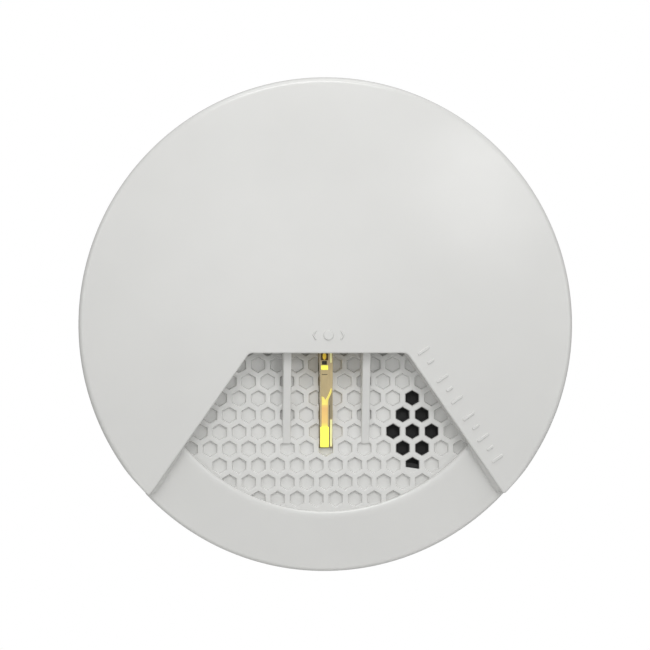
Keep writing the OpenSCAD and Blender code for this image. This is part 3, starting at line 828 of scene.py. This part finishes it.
def make_front_cover():
    cover = mesh_object("front_cover_skin", disc_shell())
    chin = mesh_object("chin", sector_shell(chin_profile(), 0.8, 110))
    combine(cover, chin, "UNION")
    for outline in relief_marks():
        combine(cover, raised_mark(outline), "UNION")
    boss_at, boss_r, boss_z = 45.8, 3.2, 27.5
    for angle in (15, 90, 165):
        outline = circle_outline(polar(boss_at, angle), boss_r, 40)
        boss = prism(outline, boss_z, dome_z(boss_at) - COVER_WALL + 0.3, "boss")
        combine(cover, boss, "UNION")
    clean(cover)
    smooth(cover, 30)
    return finish_piece(cover, "detector", gloss, ["front_cover"])


make_front_cover()


# ---------------------------------------------------------------- lattice dish


def window_outline(grow):
    """The window's outline grown by a margin, anticlockwise from its top right corner."""
    lip_steps = 60
    side = grow * (SLANT_LEN - WINDOW_SLANT)
    corner = Vector((WINDOW_HALF + side, -WINDOW_TOP + grow))
    lip = LIP_R + grow
    reach = math.degrees(math.acos((SLANT_OFF + grow) / lip))
    end = direction(SLANT_OUT) - reach
    foot = polar(lip, end)
    spacing = 2 * math.radians(90 + end) * lip / lip_steps
    arc = arc_points(Vector((0, 0)), lip, -180 - end, end, spacing)
    left_foot = Vector((-foot.x, foot.y))
    left_corner = Vector((-corner.x, corner.y))
    top = line_points(corner, left_corner, 1.5)
    left = line_points(left_corner, left_foot, 1.5)
    right = line_points(foot, corner, 1.5)
    return top + left + arc + right


def hexes():
    """Place and kind of every lattice cell: open over the sounder, flat past the lip."""
    found = []
    for row in range(-1, HEX_ROWS):
        y = -HEX_FIRST_ROW - row * HEX_ROW
        shift = 0.5 if row % 2 == 0 else 0.0
        for col in range(-11, 12):
            x = (col + shift) * HEX_PITCH
            p = Vector((x, y))
            inside = abs(x) < WINDOW_HALF + WINDOW_SLANT * (-WINDOW_TOP - y) + 4.5
            if inside and p.length < LIP_R + 4:
                steps = abs(round((y - SOUNDER.y) / HEX_ROW))
                opened = steps <= OPEN_STEPS and abs(x - SOUNDER.x) < (3 - steps) * HEX_PITCH / 2
                past_lip = p.length > LIP_R + 0.4
                found.append((p, FLAT if past_lip else OPEN if opened else BLIND))
    return found


def hex_ring(p, flats, height):
    """Six corners of a hexagon that measures flats between its upright sides."""
    corners = [p + polar(flats / math.sqrt(3), 30 + 60 * k) for k in range(6)]
    return [(q.x, q.y, height(q)) for q in corners]


def lattice_shell():
    """Bars with rounded edges around blind or open hexagons, following the dish."""
    mouth = HEX_PITCH - HEX_BAR
    edge = 0.13
    draft = 0.34
    back = 2.2
    shell = Shell()
    shared = {}

    def corner(point):
        key = tuple(round(c, 3) for c in point)
        if key not in shared:
            shared[key] = shell.add([point])[0]
        return shared[key]

    sides = {}
    for p, kind in hexes():
        top = [corner(c) for c in hex_ring(p, HEX_PITCH, lambda q: dish_z(q.length))]
        low = [corner(c) for c in hex_ring(p, HEX_PITCH, lambda q: dish_z(q.length) - back)]
        steps = [(2 * edge, 0.0), (0.8 * edge, 0.3 * edge), (0.0, edge)]
        if kind == OPEN:
            steps += [(-OPEN_TAPER, 0.45), (-OPEN_TAPER, back)]
        elif kind == BLIND:
            steps.append((-draft, HEX_DEPTH))
        else:
            steps = []
        rings = [top]
        for wider, depth in steps:
            ring = hex_ring(p, mouth + wider, lambda q, d=depth: dish_z(q.length) - d)
            rings.append(shell.add(ring))
        for a, b in zip(rings, rings[1:]):
            shell.bridge(a, b)
        if kind == OPEN:
            shell.bridge(rings[-1], low)
        else:
            shell.faces.append(tuple(rings[-1]))
            shell.faces.append(tuple(reversed(low)))
        for k in range(6):
            side = (top[k], top[(k + 1) % 6], low[(k + 1) % 6], low[k])
            key = frozenset(side)
            sides[key] = None if key in sides else side
    shell.faces += [tuple(reversed(s)) for s in sides.values() if s]
    return shell


def rim_wall_shell():
    """The dish's side walls, standing round the window's outline."""
    loop = window_outline(0)
    normals = inward_normals(loop)
    thick = 1.2
    top_wall_z = TOP_Z - COVER_WALL - 0.45
    shell = Shell()

    def ring(out, top):
        placed = []
        for p, n in zip(loop, normals):
            q = p - n * out
            at_top = p.y > -WINDOW_TOP - 0.01
            high = top_wall_z if at_top else DISH_RIM_Z + 0.05
            placed.append((q.x, q.y, high if top else dish_z(p.length) - 1.2))
        return shell.add(placed)

    rings = [ring(0, True), ring(0, False), ring(thick, False), ring(thick, True)]
    for a, b in zip(rings, rings[1:] + rings[:1]):
        shell.bridge(a, b)
    return shell


def make_rib(x):
    """A thin upright rib that runs down to the lattice."""
    head, foot = -6.6, 0.9 - GUIDE_TIP
    profile = [
        (head, dish_z(8) - 1.0),
        (head, TOP_Z - COVER_WALL - 1.7),
        (foot, dish_z(GUIDE_TIP) - 0.05),
        (foot, dish_z(GUIDE_TIP) - 1.0),
        (-20, dish_z(20) - 1.0),
        (-13, dish_z(13) - 1.0),
    ]
    rib = side_plate(profile, x - RIB_W / 2, x + RIB_W / 2, "rib")
    return rounded(rib, 0.3, 3, 50)


def make_ledge(half, rise, drop, depth_top, depth_low):
    """A slanted shelf across the lower part of the lowest open hexagon."""
    x, y = next((p.x, p.y) for p, kind in reversed(hexes()) if kind == OPEN)
    z = dish_z(math.hypot(x, y))
    outline = [
        (x - half, y + rise),
        (x - half, y - drop),
        (x + half, y - drop),
        (x + half, y + rise - 0.3 * half),
    ]
    return prism(outline, z - depth_low, z - depth_top, "ledge")


def make_hex_grille():
    below, above = 20, 60
    lattice = mesh_object("hex_grille_skin", lattice_shell())
    combine(lattice, prism(window_outline(0.6), below, above), "INTERSECT")
    combine(lattice, mesh_object("rim_wall", rim_wall_shell()), "UNION")
    for x in (-RIB_X, RIB_X):
        combine(lattice, make_rib(x), "UNION")
    slot_half = GUIDE_W / 2 + GUIDE_GAP
    slot_end = -GUIDE_TIP - 0.2
    slot = [(-slot_half, slot_end), (slot_half, slot_end), (slot_half, 0), (-slot_half, 0)]
    combine(lattice, prism(slot, below, above), "DIFFERENCE")
    white_ledge = make_ledge(half=1.9, rise=-0.5, drop=2.2, depth_top=0.1, depth_low=0.42)
    combine(lattice, white_ledge, "UNION")
    clean(lattice)
    smooth(lattice, 34)
    return finish_piece(lattice, "detector", gloss, ["hex_grille"])


make_hex_grille()


# ---------------------------------------------------------------- light guide

FRONT_LOW = dish_z(GUIDE_TIP) + 0.9
GUIDE_SKIN = 0.22


def guide_front(y):
    """Height of the light guide's front face, under the inlays."""
    t = (GUIDE_AXIS.x - y) / (GUIDE_AXIS.x + GUIDE_TIP)
    return mix(GUIDE_AXIS.y + GUIDE_HUB_R, FRONT_LOW, t) - GUIDE_SKIN


def guide_paint(name, color, painted_glow, low=0.9, high=1.1):
    """Clear tinted plastic with a painted glow: it gives out light in its own colour."""
    roughness = 0.12
    paint = Paint(name, color, roughness)
    paint.tint(color, low, high, paint.noise(1.1, 3, (1, 1, 0.35)))
    paint.rough(roughness * 0.7, roughness * 1.5, paint.noise(2, 2))
    paint.bump(paint.noise(0.9, 2, (1, 1, 0.4)), 0.02)
    paint.shader.inputs["Coat Weight"].default_value = 0.6
    paint.shader.inputs["Coat Roughness"].default_value = 0.06
    # Painted glow: the clear guide gives out light in its own colour, though it is no lamp.
    paint.shader.inputs["Emission Color"].default_value = (*color, 1)
    paint.shader.inputs["Emission Strength"].default_value = painted_glow
    return paint.material


def guide_blend(name):
    """Orange that runs into lemon at its lower end and into pale gold at its upper end, with a
    painted glow in the same colours.
    """
    color = (0.84, 0.56, 0.2)
    paint = Paint(name, color, 0.12)
    along = paint.span(paint.position("Z"), -25.2 * MM, -19.2 * MM)
    stops = [
        (0.0, (0.95, 0.9, 0.14)),
        (0.22, (0.86, 0.6, 0.2)),
        (0.8, (0.8, 0.52, 0.2)),
        (1.0, (0.9, 0.72, 0.2)),
    ]
    shade = paint.ramp(along, stops)
    paint.join(shade, paint.shader.inputs["Base Color"])
    # The ramp's colours also feed the emission: a painted glow.
    paint.join(shade, paint.shader.inputs["Emission Color"])
    paint.shader.inputs["Emission Strength"].default_value = 0.3
    paint.bump(paint.noise(0.9, 2, (1, 1, 0.4)), 0.02)
    paint.rough(0.08, 0.18, paint.noise(2, 2))
    return paint.material


def inlay(outline, rise, depth):
    """A closed inlay in the guide's front face: plan outline, and how far it stands up and in."""
    shell = Shell()
    normals = inward_normals(outline)
    edge = 0.06

    def ring(inset, height):
        placed = [p + n * inset for p, n in zip(outline, normals)]
        return shell.add((q.x, q.y, guide_front(q.y) + height) for q in placed)

    rings = [ring(0, -depth), ring(0, rise - edge), ring(edge, rise)]
    for a, b in zip(rings, rings[1:]):
        shell.bridge(a, b)
    shell.faces += [tuple(reversed(rings[0])), tuple(rings[-1])]
    return shell


def box_outline(x0, x1, y0, y1, cut=0.08):
    """A rectangle with small cut corners."""
    corners = [
        (x0 + cut, y0),
        (x1 - cut, y0),
        (x1, y0 + cut),
        (x1, y1 - cut),
        (x1 - cut, y1),
        (x0 + cut, y1),
        (x0, y1 - cut),
        (x0, y0 + cut),
    ]
    return [Vector(c) for c in corners]


def oval(x, y, rx, ry):
    steps = 20
    angles = [2 * math.pi * i / steps for i in range(steps)]
    return [Vector((x + rx * math.cos(a), y + ry * math.sin(a))) for a in angles]


def guide_body():
    """The lever in side view: hub, sloping front, light post at the tip and switch post."""
    hub = [
        (GUIDE_AXIS.x + GUIDE_HUB_R * math.cos(a), GUIDE_AXIS.y + GUIDE_HUB_R * math.sin(a))
        for a in (math.radians(d) for d in range(-90, 91, 10))
    ]
    post_z, press_z, light = 31.6, 33.2, 5.0
    under = FRONT_LOW - 4
    tip = -GUIDE_TIP
    profile = hub + [
        (-1.0, guide_front(-1.0)),
        (tip + 0.5, guide_front(tip + 0.5)),
        (tip, guide_front(tip) - 0.5),
        (tip, post_z),
        (tip + light, post_z),
        (tip + light, under),
        (-9.5, under),
        (-9.5, press_z),
        (-6.5, press_z),
        (-6.5, 43.6),
    ]
    body = side_plate(profile, -GUIDE_W / 2, GUIDE_W / 2, "test_button_skin")
    return rounded(body, 0.16, 2, 50)


def make_light_guide():
    half = GUIDE_W / 2
    tip = -GUIDE_TIP
    # The strength after each colour is a painted glow; only brown and dark have none.
    tan = guide_paint("guide_tan", (0.56, 0.45, 0.25), 0.12)
    smoke = guide_paint("guide_smoke", (0.36, 0.31, 0.2), 0.05)
    orange = guide_blend("guide_orange")
    lemon = guide_paint("guide_lemon", (0.95, 0.93, 0.12), 0.55, 0.96, 1.04)
    amber = guide_paint("guide_amber", (0.92, 0.78, 0.2), 0.32)
    pale = guide_paint("guide_pale", (0.9, 0.88, 0.42), 0.25)
    gold = guide_paint("guide_gold", (0.75, 0.5, 0.04), 0.35)
    brown = guide_paint("guide_brown", (0.12, 0.07, 0.02), 0.0)
    dark = guide_paint("guide_dark", (0.05, 0.045, 0.03), 0.0)
    finish_piece(smooth(guide_body()), "test_lever", tan, ["test_button"])
    fork = [
        Vector(p) for p in (
            (-1.1, -19.6), (0.3, -19.6), (0.42, -18.5), (1.22, -16.6), (1.28, -15.5), (1.08, -15.6),
            (0.3, -17.4), (-0.3, -18.4), (-0.62, -17.7), (-1.2, -17.5),
        )
    ]
    right_lane = half - 0.62
    seam = box_outline(right_lane - 0.27, right_lane - 0.07, tip + 0.2, -19.6, 0.03)
    side_core = box_outline(right_lane - 0.35, half - 0.12, -23.0, -16.6)
    # The glowing inlays paint the guide's bright yellow light as colour: the lit end, the lit edge,
    # the bar, the fork and the orange core.
    parts = [
        ("guide_core", box_outline(-1.15, 0.35, -25.2, -19.2), 0.1, 0.6, orange),
        ("guide_upper_core", box_outline(-1.05, 0.2, -18.2, -12.4), 0.05, 0.6, tan),
        ("guide_fork", fork, 0.15, 0.5, amber),
        ("guide_lit_end", box_outline(-half + 0.1, 0.62, tip + 0.12, -25.0), 0.2, 1.4, lemon),
        ("guide_seam", seam, 0.04, 0.3, dark),
        ("guide_lit_edge", box_outline(right_lane, half - 0.12, tip + 0.3, -23.2), 0.16, 0.5, pale),
        ("guide_side_core", side_core, 0.03, 0.3, smoke),
        ("guide_groove", box_outline(-1.2, 0.25, -12.25, -12.05, 0.03), 0.03, 0.3, dark),
        ("guide_bar", box_outline(-1.35, 0.35, -11.0, -9.9), 0.16, 0.5, lemon),
        ("guide_hollow", box_outline(-1.2, 0.1, -9.8, -8.8), 0.03, 0.5, dark),
        ("guide_surround", box_outline(-half + 0.12, 0.4, -8.7, -5.6), 0.05, 0.5, brown),
        # The gold spot of the LED seen in the guide, with a painted glow.
        ("guide_painted_led_glow", oval(-0.55, -7.7, 0.45, 0.85), 0.16, 0.3, gold),
        # A pale strip painted on the guide's face as a highlight.
        ("guide_painted_highlight", box_outline(half - 0.7, half - 0.3, -9.3, -6.8, 0.12), 0.12, 0.3, pale),
    ]
    for name, outline, rise, depth, paint in parts:
        piece = mesh_object(name, inlay(outline, rise, depth))
        finish_piece(smooth(piece, 30), "test_lever", paint)


make_light_guide()


# ---------------------------------------------------------------- sounder's dust mask


def make_dust_mask():
    """Foam ring round the sounder, with black cups that line the open hexagons."""
    shell = Shell()
    outer, inner = 12.4, 10.5
    low, high = sounder_high.z, sounder_high.z + 0.6
    centre = Vector((SOUNDER.x, SOUNDER.y))
    rings = [
        shell.add((*(centre + polar(r, 7.5 * i)), z) for i in range(48))
        for r, z in ((outer, low), (outer, high), (inner, high), (inner, low))
    ]
    for a, b in zip(rings, rings[1:] + rings[:1]):
        shell.bridge(a, b)
    mouth = HEX_PITCH - HEX_BAR - OPEN_TAPER - 0.03
    wall = 0.3
    top, floor_depth, base = 0.45, 2.4, 2.8
    for p, kind in hexes():
        if kind != OPEN:
            continue
        cup = [
            shell.add(hex_ring(p, width, lambda q, d=depth: dish_z(q.length) - d))
            for width, depth in (
                (mouth, base), (mouth, top), (mouth - wall, top + 0.1), (mouth - wall, floor_depth),
            )
        ]
        for a, b in zip(cup, cup[1:]):
            shell.bridge(a, b)
        shell.faces += [tuple(reversed(cup[0])), tuple(cup[-1])]
    mask = mesh_object("dust_mask", shell)
    black_ledge = make_ledge(half=1.5, rise=0.5, drop=0.9, depth_top=0.8, depth_low=2.5)
    combine(mask, black_ledge, "UNION")
    paint = Paint("mask_cloth", (0.02, 0.02, 0.02), 0.6, specular=0.4)
    weave = paint.math("MULTIPLY", paint.wave("X", 0.35), paint.wave("Z", 0.35))
    paint.tint((0.02, 0.02, 0.02), 0.7, 1.4, weave)
    paint.bump(weave, 0.03)
    finish_piece(mask, "detector", paint.material, ["sounder_gasket"])


make_dust_mask()


# ---------------------------------------------------------------- vents, housing, bracket and door


def screen_shell(r, z0, z1, around, rows, bar, thick):
    """A perforated cylinder: square holes with bars between them, closed on both sides."""
    shell = Shell()
    shared = {}

    def point(column, row, depth):
        key = (round(column % around, 4), round(row, 4), depth)
        if key not in shared:
            p = polar(r - depth, 360 * column / around)
            shared[key] = shell.add([(p.x, p.y, mix(z0, z1, row / rows))])[0]
        return shared[key]

    across = bar / 2
    for i in range(around):
        for j in range(rows):
            corners = [(i, j), (i + 1, j), (i + 1, j + 1), (i, j + 1)]
            holes = [
                (i + across, j + across), (i + 1 - across, j + across),
                (i + 1 - across, j + 1 - across), (i + across, j + 1 - across),
            ]
            for depth in (0, thick):
                outer = [point(*c, depth) for c in corners]
                inner = [point(*h, depth) for h in holes]
                shell.bridge(outer, inner)
            shell.bridge([point(*h, 0) for h in holes], [point(*h, thick) for h in holes])
        for j in (0, rows):
            ends = (i, 0), (i + 1, 0), (i + 1, thick), (i, thick)
            shell.faces.append(tuple(point(column, j, depth) for column, depth in ends))
    return shell


def make_vent_screen():
    low, high = plan_box("vent_screen")
    screen = mesh_object("vent_screen_skin", screen_shell(high.x, low.z, high.z, 168, 7, 0.34, 0.5))
    finish_piece(screen, "detector", NODE_PAINTS["insect_mesh"], ["vent_screen"])


def refine(node, body, slot, width):
    """Stands for a CAD node with the same shape and rounded edges."""
    source = frame["nodes"][node]
    obj = bpy.data.objects.new(node + "_skin", source.data.copy())
    bpy.context.scene.collection.objects.link(obj)
    bm = bmesh.new()
    bm.from_mesh(obj.data)
    bmesh.ops.remove_doubles(bm, verts=bm.verts, dist=5e-6)
    bmesh.ops.dissolve_limit(bm, angle_limit=math.radians(1.0), verts=bm.verts, edges=bm.edges)
    bm.to_mesh(obj.data)
    bm.free()
    rounded(obj, width, 2, 28)
    clean(obj)
    smooth(obj)
    return finish_piece(obj, body, NODE_PAINTS[slot], [node])


make_vent_screen()
for node, body, slot, width in (
    ("rear_housing", "detector", "housing_white", 0.3),
    ("vent_fins", "detector", "housing_white", 0.25),
    ("vent_ring", "detector", "housing_white", 0.25),
    ("mounting_bracket", "wall_bracket", "bracket_white", 0.3),
    ("tamper_plunger", "tamper_plunger", "housing_white", 0.2),
):
    refine(node, body, slot, width)


# ---------------------------------------------------------------- stage, camera and lights


def area_light(name, place, target, size, power):
    data = bpy.data.lights.new(name, "AREA")
    data.shape = "RECTANGLE"
    data.size, data.size_y = size
    data.energy = power
    lamp = bpy.data.objects.new(name, data)
    lamp.location = place
    lamp.rotation_euler = (Vector(target) - Vector(place)).to_track_quat("-Z", "Y").to_euler()
    bpy.context.scene.collection.objects.link(lamp)
    return lamp


def make_stage():
    """A pale floor well below the detector, which hangs at wall height."""
    floor_z = -0.26
    mesh = bpy.data.meshes.new("floor")
    half_x, near, far = 1.6, -2.4, 1.1
    corners = [(-half_x, near), (half_x, near), (half_x, far), (-half_x, far)]
    mesh.from_pydata([(x, y, floor_z) for x, y in corners], [], [(0, 1, 2, 3)])
    floor = bpy.data.objects.new("floor", mesh)
    paint = Paint("floor_paint", (0.78, 0.78, 0.77), 0.7)
    paint.tint((0.78, 0.78, 0.77), 0.99, 1.01, paint.noise(60, 2))
    floor.data.materials.append(paint.material)
    bpy.context.scene.collection.objects.link(floor)


FILL = 0.3


def make_world():
    world = bpy.data.worlds.new("studio")
    world.use_nodes = True
    tree = world.node_tree
    seen = tree.nodes["Background"]
    seen.inputs["Color"].default_value = (1, 1, 1, 1)
    seen.inputs["Strength"].default_value = 1.0
    fill = tree.nodes.new("ShaderNodeBackground")
    fill.inputs["Color"].default_value = (1, 1, 0.99, 1)
    fill.inputs["Strength"].default_value = FILL
    ray = tree.nodes.new("ShaderNodeLightPath")
    pick = tree.nodes.new("ShaderNodeMixShader")
    tree.links.new(ray.outputs["Is Camera Ray"], pick.inputs["Fac"])
    tree.links.new(fill.outputs["Background"], pick.inputs[1])
    tree.links.new(seen.outputs["Background"], pick.inputs[2])
    tree.links.new(pick.outputs["Shader"], tree.nodes["World Output"].inputs["Surface"])
    bpy.context.scene.world = world


def make_camera():
    """Almost square on to the face, a few degrees to its left."""
    azimuth = math.radians(-4.5)
    distance = 0.6
    frame_width = 0.1590
    aim = Vector((-0.00037, -0.0475, -0.00005))
    data = bpy.data.cameras.new("camera")
    data.sensor_width = 36
    data.lens = 36 * distance / frame_width
    camera = bpy.data.objects.new("camera", data)
    camera.location = aim + distance * Vector((math.sin(azimuth), -math.cos(azimuth), 0))
    camera.rotation_euler = (aim - camera.location).to_track_quat("-Z", "Y").to_euler()
    bpy.context.scene.collection.objects.link(camera)
    bpy.context.scene.camera = camera


make_stage()
make_world()
make_camera()
FACE = (0, -0.05, 0)
area_light("key", (0, -0.72, 0.45), FACE, (0.28, 0.28), 1.76)
area_light("left_softbox", (-0.6, -0.75, 0.15), FACE, (0.35, 0.5), 0.8)
area_light("right_softbox", (0.6, -0.75, 0.15), FACE, (0.35, 0.5), 0.8)
area_light("top_strip", (0, -0.22, 0.45), FACE, (0.4, 0.2), 0.6)
area_light("small_softbox", (0.29, -0.98, 0.2), FACE, (0.15, 0.15), 0.4)
area_light("front_softbox", (-0.01, -1.0, 0.1), FACE, (0.26, 0.22), 0.3)
bpy.context.scene.view_settings.view_transform = "Standard"
